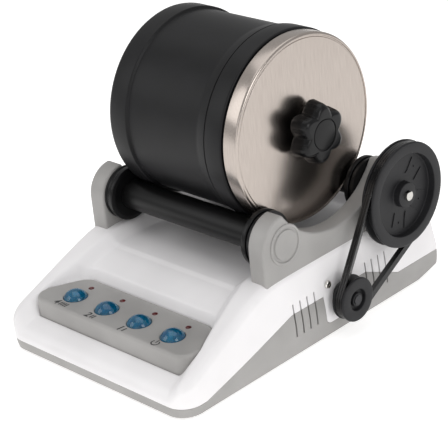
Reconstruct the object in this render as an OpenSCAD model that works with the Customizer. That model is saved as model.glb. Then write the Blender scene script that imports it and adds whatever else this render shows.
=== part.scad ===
// Rotary rock tumbler: a rubber barrel lies on two rollers above a moulded base that holds the
// motor and the timer panel. Machine coordinates: X runs along the barrel to the pulley side,
// Y to the rear, Z up; Y = 0 is the barrel's axis and Z = 0 the underside of the tray. place()
// moves all of it so that the origin is the middle of the footprint, on the table.

/* [Barrel] */
// Length of the closed barrel, over its lid
barrel_len = 146.5; // [125:0.5:180]
// Diameter of the two bands that roll on the rollers
band_d = 160.4; // [130:0.2:195]
// How far the bands stand out from the barrel body
band_step = 2.5; // [1:0.1:4]
// Width of the band at the closed end
back_band_w = 21.5; // [14:0.5:28]
// Width of the band at the lid end
front_band_w = 17.5; // [12:0.5:24]
// Length of the taper between the body and the front band
flare_len = 11; // [6:0.5:16]
// Wall of the rubber barrel
barrel_wall = 7; // [4:0.5:10]
// Depth of the steel lid cover
lid_depth = 14; // [10:0.5:20]
// How far the lid cover's skirt lies inside the bands
lid_step = 1.4; // [0.8:0.1:3]
// Rounding of the lid cover's front edge
lid_round = 3.8; // [2:0.2:6]
// Sheet of the lid cover
lid_sheet = 1.2; // [0.6:0.1:2]
// Groove between the front band and the lid cover
lid_groove = 2; // [1:0.25:4]

/* [Lid knob] */
// Diameter over the knob's lobes
knob_d = 56; // [44:1:68]
// Height of the knob without its washer
knob_h = 22.5; // [16:0.5:30]
// Number of lobes
knob_lobes = 6; // [5:1:8]
// Radius of one lobe
lobe_r = 8.5; // [6:0.25:10]
// Diameter of the lid stud
stud_d = 8; // [6:1:10]
// Thickness of the washer under the knob
washer_t = 2.2; // [1:0.1:4]

/* [Rollers] */
// Distance between the two roller axes
roller_sep = 124.3; // [104:0.1:149]
// Height of the roller axes above the tray's underside
roller_h = 97.2; // [92:0.1:112]
// Diameter of the roller sleeves
roller_d = 25.6; // [20:0.2:31]
// Diameter of the flanges at the roller ends
flange_d = 47.2; // [42:0.2:49]
// Thickness of one roller flange
flange_w = 5; // [3:0.25:7]
// Diameter of the roller and motor shafts
shaft_d = 8; // [6:0.5:10]
// Width of the fixed collar between a flange and its bracket
collar_w = 4.7; // [3:0.1:8]

/* [Brackets] */
// Thickness of a bracket
bracket_t = 16.7; // [13:0.1:21]
// Radius of the boss round a roller axis
boss_r = 25.2; // [24.8:0.2:28]
// Wall of the hollow bracket
bracket_wall = 3; // [2:0.25:4]
// Radius of the raised cap on a boss
cap_r = 17.2; // [13:0.2:20]
// How far the cap stands out
cap_h = 1.2; // [0.6:0.1:2]
// Outside diameter of a shaft bushing
bushing_d = 14; // [12:0.5:17]

/* [Base] */
// From the barrel's axis to the front of the base
front_len = 191; // [180:0.5:230]
// From the barrel's axis to the rear of the base
rear_len = 119.5; // [105:0.5:144]
// Height of the base's flat top
top_h = 73; // [71:0.5:80]
// Height of the base's front edge
nose_h = 26.6; // [24:0.2:32]
// From the barrel's axis to the top of the front slope
slope_top = 90; // [80:1:100]
// From the brackets' outer faces to the sides of the base
side_margin = 6.1; // [5:0.1:14]
// How far each side leans in at the top
side_lean = 5.2; // [0:0.2:6]
// How far the rear leans in at the top
rear_lean = 8; // [0:0.5:14]
// Height at which the walls start to lean
lean_h = 24; // [18:0.5:30]
// Rounding of the front corners, seen from above
front_round = 18; // [8:1:24]
// Rounding of the rear corners, seen from above
rear_round = 3; // [2.6:0.1:12]
// Wall of the tray and the shell
wall = 2.5; // [2:0.1:3.5]
// Depth of the channel between the two rails
channel_depth = 8.3; // [4:0.1:12]
// Width of a rail beside the channel, at the brackets
rail_w = 27.6; // [24:0.2:32]
// How much wider the channel is on each side at the front
channel_flare = 20; // [14:1:22]
// Height of a foot below the tray
foot_h = 2.5; // [1.5:0.5:6]
// Diameter of a foot
foot_d = 16; // [10:1:20]

/* [Tray edge] */
// Height of the tray's edge along the front
tray_front_h = 8.5; // [6:0.5:14]
// Height of the tray's raised side panels
ear_h = 37.2; // [32:0.2:44]
// Height of the tray's edge at the rear
tray_rear_h = 20.5; // [14:0.5:26]
// Height of the chamfer under the rear edge
chamfer_h = 7.3; // [3:0.5:12]
// Length of the chamfer under the rear edge
chamfer_len = 25; // [10:1:30]

/* [Vents] */
// Number of slots in one group
vent_count = 4; // [2:1:5]
// Distance between two slots
vent_pitch = 8.35; // [6:0.25:9]
// Width of a slot
vent_w = 1.6; // [1:0.1:2.5]
// Height of the slots' lower ends
vent_low = 16.5; // [14:0.5:20]
// Height of the slots' upper ends
vent_high = 45.6; // [40:0.5:50]
// From the motor's axis to the nearest slot
vent_start = 31.7; // [28:0.5:36]

/* [Motor and belt] */
// From the barrel's axis to the motor's axis, towards the front
motor_y = 6.6; // [0:0.2:14]
// Height of the motor's axis above the tray's underside
motor_h = 30.4; // [27:0.2:38]
// Width and height of the motor
motor_size = 42; // [38:0.5:46]
// Length of the motor
motor_len = 58; // [40:1:70]
// Distance between the motor's screws
screw_pitch = 31; // [26:0.5:34]
// Width of the white notch round the motor
notch_w = 40.2; // [38:0.2:46]
// Diameter of the driven pulley
big_pulley_d = 90; // [74:0.5:108]
// Diameter of the motor pulley
small_pulley_d = 37.8; // [31:0.2:44]
// Width of both pulleys
pulley_w = 12; // [10:0.5:16]
// From the base's side to the pulleys
pulley_gap = 4.9; // [4:0.1:12]
// Thickness of the belt
belt_t = 4.6; // [3:0.1:6]
// Width of the belt
belt_w = 6.6; // [5:0.1:8]

/* [Control panel] */
// Height of the panel's top face
panel_h = 42; // [38:0.5:46]
// Half of the panel's largest width
panel_half_w = 91; // [80:0.5:92]
// Half of the panel's width at its rear
panel_rear_half_w = 75; // [66:0.5:78]
// From the barrel's axis to the panel's front face
panel_front = 171.5; // [168:0.5:176]
// Length of the panel's straight sides, before they draw in
panel_taper = 18; // [17:0.5:22]
// Radius of the panel's corners
panel_round = 12; // [6:0.5:13]
// Depth of the panel from front to rear
panel_depth = 50.5; // [46:0.5:58]
// Thickness of the panel's top
panel_t = 2.5; // [2:0.1:3.5]
// Distance between two buttons
button_pitch = 38.7; // [30:0.1:42]
// Diameter of a button
button_d = 20.6; // [16:0.2:24]
// Height of a button's dome
dome_h = 6.5; // [4:0.25:9]
// How far a button travels
button_travel = 1.5; // [0.5:0.1:2.5]
// From the panel's front face to the row of buttons
button_in = 20.3; // [16:0.1:24]
// From the panel's front face to the row of lamps
lamp_in = 37.8; // [34:0.1:42]
// Diameter of a lamp
lamp_d = 5; // [3:0.5:6]

/* [Clearances] */
// Gap between the barrel's bands and the rollers
rolling_gap = 0.3; // [0.2:0.05:0.6]
// Radial running clearance of a shaft
run_gap = 0.05; // [0.03:0.01:0.1]
// Gap between parts that move past each other
move_gap = 0.3; // [0.25:0.05:0.6]
// Gap between the barrel's ends and the roller flanges
end_gap = 1.75; // [1:0.25:3]

/* [Hidden] */
$fn = 96;

shell_col = "#EDEBEC";
grey_col = "#A3A09E";
black_col = "#2B2B2D";
pulley_col = "#3A3A3C";
steel_col = "#C9C4BE";
brass_col = "#B08D4A";
blue_col = "#0E6FA8";
board_col = "#1F6B3A";

cut = 1; // how far a cutter runs past the face it cuts

band_r = band_d / 2;
body_r = band_r - band_step;
roller_r = roller_d / 2;
shaft_r = shaft_d / 2;
stud_r = stud_d / 2;
flange_r = flange_d / 2;
bushing_r = bushing_d / 2;
saddle_r = band_r - 1.7;
axis_gap = band_r + roller_r + rolling_gap;
axis_h = roller_h + sqrt(pow(axis_gap, 2) - pow(roller_sep / 2, 2));

barrel_end = barrel_len / 2;
flange_in = barrel_end + end_gap;
collar_in = flange_in + flange_w + move_gap;
bracket_in = collar_in + collar_w;
bracket_out = bracket_in + bracket_t;
half_w = bracket_out + side_margin;
bracket_half = roller_sep / 2 + boss_r;

slope = atan((top_h - nose_h) / (front_len - slope_top));
channel_half = half_w - side_lean - rail_w;
channel_rear = rear_len - 42;

groove_depth = belt_t + 0.9;
big_r = big_pulley_d / 2;
small_r = small_pulley_d / 2;
big_seat = big_r - groove_depth + move_gap;
small_seat = small_r - groove_depth + move_gap;
pulley_in = half_w + pulley_gap;
pulley_out = pulley_in + pulley_w;
shaft_tip = pulley_out + 2.3;
drive_y = roller_sep / 2;

pad_high = motor_h + notch_w / 2 + 4;
pad_low = motor_h - notch_w / 2 + 1.2;
pad_in = side_x(pad_high) - wall;
pilot_r = 11;
screw_r = 2;

pocket_floor = 20;
pocket_gap = 0.25;
panel_rear = panel_front - panel_depth;
board_t = 1.6;
board_top = panel_h - panel_t - 8;
button_r = button_d / 2;
button_y = -panel_front + button_in;
lamp_y = -panel_front + lamp_in;
lip_w = 1.6;
lip_t = 1.2;

gland_r = 4.5;
gland_lip = 2;

shift_x = (half_w - shaft_tip) / 2;
shift_y = (front_len - rear_len - gland_lip) / 2;

// ---- helpers ----

module place() {
    translate([shift_x, shift_y, foot_h]) children();
}

// Extrudes an outline drawn in (Y, Z) from x0 to x1
module slab_x(x0, x1) {
    translate([x0, 0, 0]) rotate([90, 0, 90]) linear_extrude(x1 - x0) children();
}

// Extrudes an outline drawn in (X, Z) from y0 to y1
module slab_y(y0, y1) {
    translate([0, y1, 0]) rotate([90, 0, 0]) linear_extrude(y1 - y0) children();
}

// Turns a profile drawn as (radius, X) round an axis along X
module turned_x(y, z) {
    translate([0, y, z]) rotate([0, 90, 0]) rotate_extrude() children();
}

module rod_x(x0, x1, r, y = 0, z = 0) {
    translate([x0, y, z]) rotate([0, 90, 0]) cylinder(h = x1 - x0, r = r);
}

module tube_x(x0, x1, r_out, r_in, y = 0, z = 0) {
    difference() {
        rod_x(x0, x1, r_out, y, z);
        rod_x(x0 - cut, x1 + cut, r_in, y, z);
    }
}

module both_sides() {
    children();
    mirror([1, 0, 0]) children();
}

function unit(v) = v / norm(v);

// Points of the arc of radius r that rounds corner b between a and c
function arc_at(a, b, c, r, n = 6) =
    let (u = unit(a - b), w = unit(c - b), half = acos(u * w) / 2, back = r / tan(half),
        centre = b + unit(u + w) * r / sin(half), p = b + u * back, q = b + w * back,
        a0 = atan2(p[1] - centre[1], p[0] - centre[0]),
        turn = (atan2(q[1] - centre[1], q[0] - centre[0]) - a0 + 540) % 360 - 180)
    [for (i = [0:n]) centre + r * [cos(a0 + turn * i / n), sin(a0 + turn * i / n)]];

// A closed outline with each corner i rounded to radius r[i]
function rounded(p, r) =
    [for (i = [0:len(p) - 1])
        let (a = p[(i + len(p) - 1) % len(p)], b = p[i], c = p[(i + 1) % len(p)])
        each (r[i] > 0 ? arc_at(a, b, c, r[i]) : [b])];

// ---- base form ----

// Half-width of the outside of the base at height h
function side_x(h) = half_w - side_lean * max(0, h - lean_h) / (top_h - lean_h);

// Side outline of the base, t inside its skin
module base_side(t) {
    lift = t / cos(slope);
    polygon([
        [-front_len + t, t],
        [-front_len + t, nose_h + t * tan(slope) - lift],
        [-slope_top + (lift - t) / tan(slope), top_h - t],
        [rear_len - rear_lean - t, top_h - t],
        [rear_len - t, lean_h],
        [rear_len - t, chamfer_h + t * chamfer_h / chamfer_len],
        [rear_len - chamfer_len, t]]);
}

module base_cross(t) {
    polygon([for (s = [-1, 1]) each s > 0
        ? [[half_w - t, lean_h], [half_w - side_lean - t, top_h]]
        : [[-half_w + side_lean + t, top_h], [-half_w + t, lean_h], [-half_w + t, 0], [half_w - t, 0]]]);
}

module base_plan(t) {
    polygon(rounded([
        [-half_w + t, -front_len + t], [half_w - t, -front_len + t],
        [half_w - t, rear_len - t], [-half_w + t, rear_len - t]],
        [front_round - t, front_round - t, rear_round - t, rear_round - t]));
}

module panel_plan(t) {
    w = panel_half_w;
    v = panel_rear_half_w;
    polygon(rounded([
        [-w - t, -panel_front - t], [w + t, -panel_front - t], [w + t, -panel_front + panel_taper],
        [v + t, -panel_rear + t], [-v - t, -panel_rear + t], [-w - t, -panel_front + panel_taper]],
        [panel_round, panel_round, 4, 14, 14, 4]));
}

// The space taken out of the base form between the rails; t is the skin below it
module channel_space(t) {
    drop = channel_depth / cos(slope) + t / cos(slope);
    flat = top_h - channel_depth - t;
    w = channel_half + t;
    intersection() {
        slab_x(-half_w - cut, half_w + cut) polygon([
            [-front_len - cut, nose_h - drop - cut * tan(slope)],
            [-slope_top + (flat - top_h + drop) / tan(slope), flat],
            [channel_rear, flat],
            [channel_rear + t, top_h + cut],
            [-front_len - cut, top_h + cut]]);
        linear_extrude(top_h + 2 * cut) polygon([
            [-w, channel_rear + t], [-w, -slope_top],
            [-w - channel_flare, -front_len - cut], [w + channel_flare, -front_len - cut],
            [w, -slope_top], [w, channel_rear + t]]);
    }
}

module base_form(t) {
    difference() {
        intersection() {
            slab_x(-half_w, half_w) base_side(t);
            slab_y(-front_len, rear_len) base_cross(t);
            linear_extrude(top_h) base_plan(t);
        }
        channel_space(t);
        translate([0, 0, pocket_floor - t]) linear_extrude(top_h) panel_plan(pocket_gap + t);
    }
}

// Everything below the line where tray and shell meet, on one side
module tray_side(notched) {
    difference() {
        polygon([
            [-front_len - cut, -cut], [-front_len - cut, tray_front_h],
            [-front_len + 24, tray_front_h], [-motor_y - 59.4, ear_h], [-motor_y + 31.6, ear_h],
            [-motor_y + 71, tray_rear_h], [rear_len + cut, tray_rear_h], [rear_len + cut, -cut]]);
        if (notched)
            polygon([
                [-motor_y - notch_w / 2 - 2, ear_h + cut], [-motor_y - notch_w / 2, pad_low],
                [-motor_y + notch_w / 2, pad_low], [-motor_y + notch_w / 2 + 2, ear_h + cut]]);
    }
}

// The tray's share of the base form; the panel's pocket is all the shell's
module tray_zone() {
    difference() {
        union() {
            slab_x(0, half_w + cut) tray_side(true);
            slab_x(-half_w - cut, 0) tray_side(false);
        }
        translate([0, 0, pocket_floor - wall - cut]) linear_extrude(top_h)
            panel_plan(pocket_gap + wall + cut);
    }
}

module vents() {
    for (side = [-1, 1], i = [0:vent_count - 1])
        translate([-half_w - cut, -motor_y + side * (vent_start + i * vent_pitch) - vent_w / 2, vent_low])
            cube([2 * half_w + 2 * cut, vent_w, vent_high - vent_low]);
}

foot_x = half_w - 22;
foot_spots = [for (sx = [-1, 1], y = [-front_len + 24, rear_len - 40]) [sx * foot_x, y]];
post_spots = [for (sx = [-1, 1], y = [-slope_top + 32, rear_len - 62]) [sx * (half_w - 16), y]];
post_r = 4.5;
post_split = 12;

module tray() {
    color(grey_col) place() difference() {
        union() {
            difference() {
                intersection() {
                    base_form(0);
                    tray_zone();
                }
                base_form(wall);
            }
            for (p = post_spots) translate([p[0], p[1], 0]) cylinder(h = post_split, r = post_r);
        }
        vents();
        for (p = post_spots) translate([p[0], p[1], -cut]) cylinder(h = 30, r = screw_r + 0.2);
        translate([-half_w / 2, rear_len - wall - cut - 1, 14.5]) rotate([-90, 0, 0])
            cylinder(h = wall + 2 * cut + 2, r = gland_r);
    }
}

module upper_shell() {
    color(shell_col) place() difference() {
        union() {
            difference() {
                base_form(0);
                base_form(wall);
                tray_zone();
            }
            intersection() {
                base_form(0);
                translate([pad_in, -motor_y - notch_w / 2, pad_low])
                    cube([half_w, notch_w, pad_high - pad_low]);
            }
            for (p = post_spots) translate([p[0], p[1], post_split])
                cylinder(h = top_h - wall / 2 - post_split, r = post_r);
        }
        vents();
        rod_x(pad_in - cut, half_w + cut, pilot_r + 0.2, -motor_y, motor_h);
        for (s = [-1, 1])
            rod_x(pad_in - cut, half_w + cut, screw_r + 0.2, -motor_y + s * screw_pitch / 2,
                motor_h - s * screw_pitch / 2);
        for (p = post_spots) translate([p[0], p[1], post_split - cut]) cylinder(h = 18, r = screw_r);
        for (p = bracket_screw_spots) translate([p[0], p[1], top_h - wall - cut])
            cylinder(h = wall + 2 * cut, r = screw_r + 0.2);
    }
}

module rubber_feet() {
    color(black_col) place() for (p = foot_spots)
        translate([p[0], p[1], -foot_h]) cylinder(h = foot_h, r1 = foot_d / 2 - 0.8, r2 = foot_d / 2);
}

module base_screws() {
    color(steel_col) place() for (p = post_spots) {
        translate([p[0], p[1], -1.6]) cylinder(h = 1.6, r = 3.6);
        translate([p[0], p[1], 0]) cylinder(h = 26, r = screw_r);
    }
}

// ---- brackets ----

bracket_mid = (bracket_in + bracket_out) / 2;
bracket_screw_spots = [for (sx = [-1, 1], sy = [-1, 1]) [sx * bracket_mid, sy * (bracket_half - 9)]];

module bracket_outline(t) {
    difference() {
        union() {
            for (s = [-1, 1]) translate([s * roller_sep / 2, roller_h]) circle(r = boss_r - t);
            translate([-bracket_half + t, top_h]) square([2 * (bracket_half - t), roller_h - top_h]);
            translate([-roller_sep / 2, roller_h - cut]) square([roller_sep, boss_r * 0.8]);
        }
        translate([0, axis_h]) circle(r = saddle_r + t, $fn = 160);
        translate([-half_w, 0]) square([2 * half_w, top_h]);
    }
}

// The right-hand bracket; the left one is its mirror image
module bracket(shaft_hole) {
    difference() {
        union() {
            difference() {
                slab_x(bracket_in, bracket_out) bracket_outline(0);
                slab_x(bracket_in + bracket_wall, bracket_out - bracket_wall) bracket_hollow();
            }
            for (s = [-1, 1]) {
                rod_x(bracket_in, bracket_out - 1, bushing_r + 3, s * roller_sep / 2, roller_h);
                rod_x(bracket_out - 1, bracket_out + cap_h, cap_r, s * roller_sep / 2, roller_h);
            }
            for (s = [-1, 1]) translate([bracket_in + 1, s * (bracket_half - 9) - 4.5, top_h])
                cube([bracket_t - 2, 9, 16]);
        }
        for (s = [-1, 1])
            rod_x(bracket_in - cut, bracket_out - bracket_wall, bushing_r, s * roller_sep / 2, roller_h);
        if (shaft_hole)
            rod_x(bracket_in, bracket_out + 2 * cut, shaft_r + 1, drive_y, roller_h);
        for (s = [-1, 1]) translate([bracket_mid, s * (bracket_half - 9), top_h - cut])
            cylinder(h = 14, r = screw_r);
    }
}

module bracket_hollow() {
    bracket_outline(bracket_wall);
    translate([-bracket_half + bracket_wall, top_h - cut])
        square([2 * (bracket_half - bracket_wall), 2 * cut]);
}

module left_bracket() {
    color(grey_col) place() mirror([1, 0, 0]) bracket(false);
}

module right_bracket() {
    color(grey_col) place() bracket(true);
}

module bracket_screws() {
    color(steel_col) place() for (p = bracket_screw_spots) {
        translate([p[0], p[1], top_h - wall - 2.2]) cylinder(h = 2.2, r = 3.6);
        translate([p[0], p[1], top_h - wall]) cylinder(h = wall + 12, r = screw_r);
    }
}

module bearing_collars() {
    color(black_col) place() both_sides() for (s = [-1, 1])
        tube_x(collar_in, bracket_in, flange_r, bushing_r + 1.2, s * roller_sep / 2, roller_h);
}

module shaft_bushings() {
    color(brass_col) place() both_sides() for (s = [-1, 1]) {
        tube_x(bracket_in - 1.2, bracket_out - bracket_wall, bushing_r, shaft_r + run_gap,
            s * roller_sep / 2, roller_h);
    }
}

// ---- rollers ----

module roller_sleeve(y) {
    tube_x(-flange_in, flange_in, roller_r, shaft_r, y, roller_h);
}

module roller_flanges(y) {
    both_sides() difference() {
        turned_x(y, roller_h) polygon(rounded(
            [[shaft_r, flange_in], [flange_r, flange_in], [flange_r, flange_in + flange_w],
                [shaft_r, flange_in + flange_w]], [0, 1, 0.6, 0]));
    }
}

shaft_end = bracket_out - bracket_wall - 0.6;

module drive_shaft() {
    color(steel_col) place() difference() {
        rod_x(-shaft_end, shaft_tip, shaft_r, drive_y, roller_h);
        translate([pulley_in, drive_y - shaft_d, roller_h + shaft_r * 0.78])
            cube([pulley_w + 4, 2 * shaft_d, shaft_d]);
    }
}

module drive_sleeve() {
    color(black_col) place() roller_sleeve(drive_y);
}

module drive_flanges() {
    color(black_col) place() roller_flanges(drive_y);
}

module idler_shaft() {
    color(steel_col) place() rod_x(-shaft_end, shaft_end, shaft_r, -drive_y, roller_h);
}

module idler_sleeve() {
    color(black_col) place() roller_sleeve(-drive_y);
}

module idler_flanges() {
    color(black_col) place() roller_flanges(-drive_y);
}

// ---- pulleys, belt and motor ----

module pulley_rim(r, depth) {
    mid = pulley_w / 2;
    seat = r - groove_depth;
    polygon([
        [r - depth, 0], [r - 0.6, 0], [r, 0.6], [r, mid - belt_w / 2 - 1.3],
        [seat, mid - belt_w / 2 - move_gap], [seat, mid + belt_w / 2 + move_gap],
        [r, mid + belt_w / 2 + 1.3], [r, pulley_w - 0.6], [r - 0.6, pulley_w],
        [r - depth, pulley_w]]);
}

module drive_pulley() {
    rim = 9;
    hub = 11;
    web_in = 2.6;
    web_t = 3.4;
    color(pulley_col) place() turned_x(drive_y, roller_h) translate([0, pulley_in]) {
        pulley_rim(big_r, rim);
        translate([hub - 1, web_in]) square([big_r - rim - hub + 2, web_t]);
        translate([shaft_r, 0]) square([hub - shaft_r, pulley_w]);
    }
}

module motor_pulley() {
    color(pulley_col) place() turned_x(-motor_y, motor_h) translate([0, pulley_in]) difference() {
        union() {
            pulley_rim(small_r, small_r - shaft_r);
            translate([shaft_r, -2.4]) square([6, 3]);
        }
        translate([shaft_r + 1.2, pulley_w - 4]) square([3.6, 5]);
    }
}

// The loop round both pulleys, out from the belt's seats by grow, as two arcs and their tangents
function belt_arc(centre, r, from, span, n) =
    [for (i = [0:n]) centre + r * [cos(from + span * i / n), sin(from + span * i / n)]];

module belt_loop(grow) {
    big = [drive_y, roller_h];
    small = [-motor_y, motor_h];
    run = small - big;
    heading = atan2(run[1], run[0]);
    lean = asin((big_seat - small_seat) / norm(run));
    polygon(concat(
        belt_arc(big, big_seat + grow, heading + 90 - lean, 180 + 2 * lean, 72),
        belt_arc(small, small_seat + grow, heading - 90 + lean, 180 - 2 * lean, 32)));
}

module drive_belt() {
    mid = pulley_in + pulley_w / 2;
    color(black_col) place() difference() {
        slab_x(mid - belt_w / 2, mid + belt_w / 2) belt_loop(belt_t);
        slab_x(mid - belt_w, mid + belt_w) belt_loop(0);
    }
}

module motor_housing() {
    color(steel_col) place() difference() {
        union() {
            translate([pad_in - 4 - motor_len, -motor_y - motor_size / 2, motor_h - motor_size / 2])
                cube([motor_len + 4, motor_size, motor_size]);
            rod_x(pad_in - cut, pad_in + 2, pilot_r, -motor_y, motor_h);
        }
        rod_x(pad_in - 20, pad_in + 2 + cut, shaft_r + run_gap, -motor_y, motor_h);
        for (s = [-1, 1])
            rod_x(pad_in - 8, pad_in + cut, screw_r, -motor_y + s * screw_pitch / 2,
                motor_h - s * screw_pitch / 2);
    }
}

module motor_end_bell() {
    end = pad_in - 4 - motor_len;
    color(pulley_col) place() difference() {
        union() {
            translate([end - 9, -motor_y - motor_size / 2 + 1, motor_h - motor_size / 2 + 1])
                cube([9, motor_size - 2, motor_size - 2]);
            rod_x(end - 12, end - 8, 9, -motor_y, motor_h);
        }
        for (i = [-2:2]) translate([end - 12 - cut, -motor_y + i * 6 - 1, motor_h - 16])
            cube([5, 2, 6]);
    }
}

module motor_screws() {
    color(steel_col) place() for (s = [-1, 1]) {
        y = -motor_y + s * screw_pitch / 2;
        z = motor_h - s * screw_pitch / 2;
        seat = side_x(z - 3.6);
        difference() {
            turned_x(y, z) polygon(rounded(
                [[0, seat], [3.6, seat], [3.6, seat + 2.4], [0, seat + 2.4]], [0, 0, 1.2, 0]));
            translate([seat + 1.2, y - 3.6, z - 0.4]) cube([3, 7.2, 0.8]);
        }
        rod_x(pad_in - 7, seat + 0.5, screw_r, y, z);
    }
}

module motor_shaft() {
    color(steel_col) place() rod_x(pad_in - 18, pulley_out, shaft_r, -motor_y, motor_h);
}

// ---- control panel ----

module panel_walls(h0, h1, t) {
    translate([0, 0, h0]) linear_extrude(h1 - h0) panel_plan(t);
}

button_x = [for (i = [-1.5:1.5]) i * button_pitch];

module control_panel() {
    skirt = pocket_floor + 2;
    color(grey_col) place() difference() {
        union() {
            difference() {
                panel_walls(skirt, panel_h, 0);
                panel_walls(skirt - cut, panel_h - panel_t, -2);
            }
            for (x = button_x) translate([x + button_pitch / 4, lamp_y, board_top])
                cylinder(h = panel_h - board_top - 1, r = 3);
        }
        for (x = button_x) {
            translate([x, button_y, panel_h - panel_t - cut])
                cylinder(h = panel_t + 2 * cut, r = button_r + move_gap);
            translate([x, lamp_y, panel_h - panel_t - cut]) cylinder(h = panel_t + 2 * cut, r = lamp_d / 2);
        }
    }
}

module lamp_lenses() {
    color("#6E1216") place() for (x = button_x) translate([x, lamp_y, 0]) {
        translate([0, 0, panel_h]) scale([1, 1, 0.35]) intersection() {
            sphere(r = lamp_d / 2);
            cylinder(h = lamp_d, r = lamp_d);
        }
        translate([0, 0, board_top]) cylinder(h = panel_h - board_top, r = lamp_d / 2);
    }
}

module circuit_board() {
    color(board_col) place() translate([0, 0, board_top - board_t]) linear_extrude(board_t)
        polygon(rounded([
            [-panel_rear_half_w + 4, -panel_front + 6], [panel_rear_half_w - 4, -panel_front + 6],
            [panel_rear_half_w - 8, -panel_rear - 6], [-panel_rear_half_w + 8, -panel_rear - 6]],
            [2, 2, 2, 2]));
}

stem_low = panel_h - panel_t - lip_t - button_travel;

module button_switches() {
    color(black_col) place() for (x = button_x) {
        translate([x - 3, button_y - 3, board_top]) cube([6, 6, 2.6]);
        translate([x, button_y, board_top + 2.6])
            cylinder(h = stem_low - board_top - 2.6 - button_travel - 0.3, r = 1.7);
    }
}

// A translucent dome with a retaining lip under the panel
module button(i) {
    dome_r = (pow(button_r, 2) + pow(dome_h, 2)) / (2 * dome_h);
    lip_top = panel_h - panel_t - 0.1;
    color(blue_col) place() translate([button_x[i], button_y, 0]) {
        intersection() {
            translate([0, 0, panel_h + dome_h - dome_r]) sphere(r = dome_r, $fn = 120);
            translate([0, 0, panel_h]) cylinder(h = dome_h + cut, r = button_r);
        }
        translate([0, 0, lip_top - lip_t]) cylinder(h = panel_h - lip_top + lip_t, r = button_r);
        translate([0, 0, lip_top - lip_t]) cylinder(h = lip_t, r = button_r + lip_w);
        translate([0, 0, stem_low]) cylinder(h = lip_top - stem_low, r = 3);
    }
}

module button_4() {
    button(0);
}

module button_2() {
    button(1);
}

module button_1() {
    button(2);
}

module button_power() {
    button(3);
}

// ---- rear entry ----

module cord_gland() {
    y = rear_len - wall;
    color(black_col) place() translate([-half_w / 2, 0, 14.5]) rotate([-90, 0, 0]) difference() {
        union() {
            translate([0, 0, y - 2]) cylinder(h = wall + 2 + cut, r = gland_r);
            translate([0, 0, rear_len]) cylinder(h = gland_lip, r = 7);
            translate([0, 0, y - 3]) cylinder(h = 2.99, r = 6);
        }
        translate([0, 0, y - 4]) cylinder(h = wall + 8, r = 3.3);
    }
}

module terminal_block() {
    color(shell_col) place() difference() {
        translate([-half_w / 2 - 14, rear_len - 52, wall]) cube([28, 14, 12]);
        for (i = [-1:1]) translate([-half_w / 2 + i * 8, rear_len - 45, wall + 7]) cylinder(h = 6, r = 2.2);
    }
}

// ---- barrel ----

neck_r = body_r - 1;
mouth_r = neck_r - barrel_wall;
neck_end = barrel_end - lid_sheet - 3;
skirt_back = barrel_end - lid_depth;
skirt_r = band_r - lid_step;
front_band_end = skirt_back - lid_groove;

module barrel_shell() {
    back = -barrel_end;
    front = front_band_end - front_band_w;
    color(black_col) place() turned_x(0, axis_h) difference() {
        polygon(rounded([
            [0, back], [band_r, back], [band_r, back + back_band_w],
            [body_r, back + back_band_w + 2], [body_r, front - flare_len], [band_r, front],
            [band_r, front_band_end], [neck_r, front_band_end + 0.01], [neck_r, neck_end],
            [0, neck_end]], [0, 5, 1, 0, 3, 3, 1.5, 0, 0.5, 0]));
        polygon(rounded([
            [0, back + barrel_wall], [mouth_r, back + barrel_wall], [mouth_r, neck_end + cut],
            [0, neck_end + cut]], [0, 6, 0, 0]));
    }
}

module inner_lid() {
    color(steel_col) place() turned_x(0, axis_h) {
        translate([stud_r, neck_end - 8]) square([mouth_r - 0.3 - stud_r, 2]);
        translate([mouth_r - 2.3, neck_end - 8]) square([2, 8]);
    }
}

module lid_gasket() {
    color(black_col) place() turned_x(0, axis_h)
        translate([mouth_r + 1, neck_end + 0.1]) square([neck_r - mouth_r - 2, 2.6]);
}

module lid_stud() {
    color(steel_col) place() {
        rod_x(neck_end - 12, barrel_end + washer_t + knob_h - 6, stud_r, 0, axis_h);
        rod_x(neck_end - 12, neck_end - 8, stud_r + 3, 0, axis_h);
    }
}

module lid_cover() {
    color(steel_col) place() turned_x(0, axis_h) difference() {
        polygon(rounded([
            [stud_r + 0.3, skirt_back], [skirt_r, skirt_back], [skirt_r, barrel_end],
            [stud_r + 0.3, barrel_end]], [0, 0, lid_round, 0]));
        polygon(rounded([
            [0, skirt_back - cut], [skirt_r - lid_sheet, skirt_back - cut],
            [skirt_r - lid_sheet, barrel_end - lid_sheet], [0, barrel_end - lid_sheet]],
            [0, 0, lid_round - lid_sheet, 0]));
    }
}

module knob_washer() {
    color(steel_col) place() tube_x(barrel_end + run_gap, barrel_end + washer_t - run_gap, 12,
        stud_r + run_gap, 0, axis_h);
}

module star_knob() {
    back = barrel_end + washer_t;
    lobe_at = knob_d / 2 - lobe_r;
    color(black_col) place() translate([0, 0, axis_h]) difference() {
        intersection() {
            union() {
                slab_x(back + 3, back + knob_h) {
                    circle(r = lobe_at);
                    for (i = [0:knob_lobes - 1]) rotate(i * 360 / knob_lobes + 30)
                        translate([lobe_at, 0]) circle(r = lobe_r);
                }
                rod_x(back, back + 3 + cut, 15);
            }
            turned_x(0, 0) polygon(rounded([
                [0, back - cut], [knob_d / 2 - 3, back - cut], [knob_d / 2 + 0.1, back + 6],
                [knob_d / 2 + 0.1, back + knob_h], [0, back + knob_h]], [0, 0, 0, 4, 0]));
        }
        rod_x(back - cut, back + 12, 6.5);
        rod_x(back + 11, back + knob_h - 5, stud_r + 0.4);
    }
}

module knob_insert() {
    back = barrel_end + washer_t;
    color(brass_col) place() tube_x(back, back + 12, 6.5, stud_r + run_gap, 0, axis_h);
}

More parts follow.
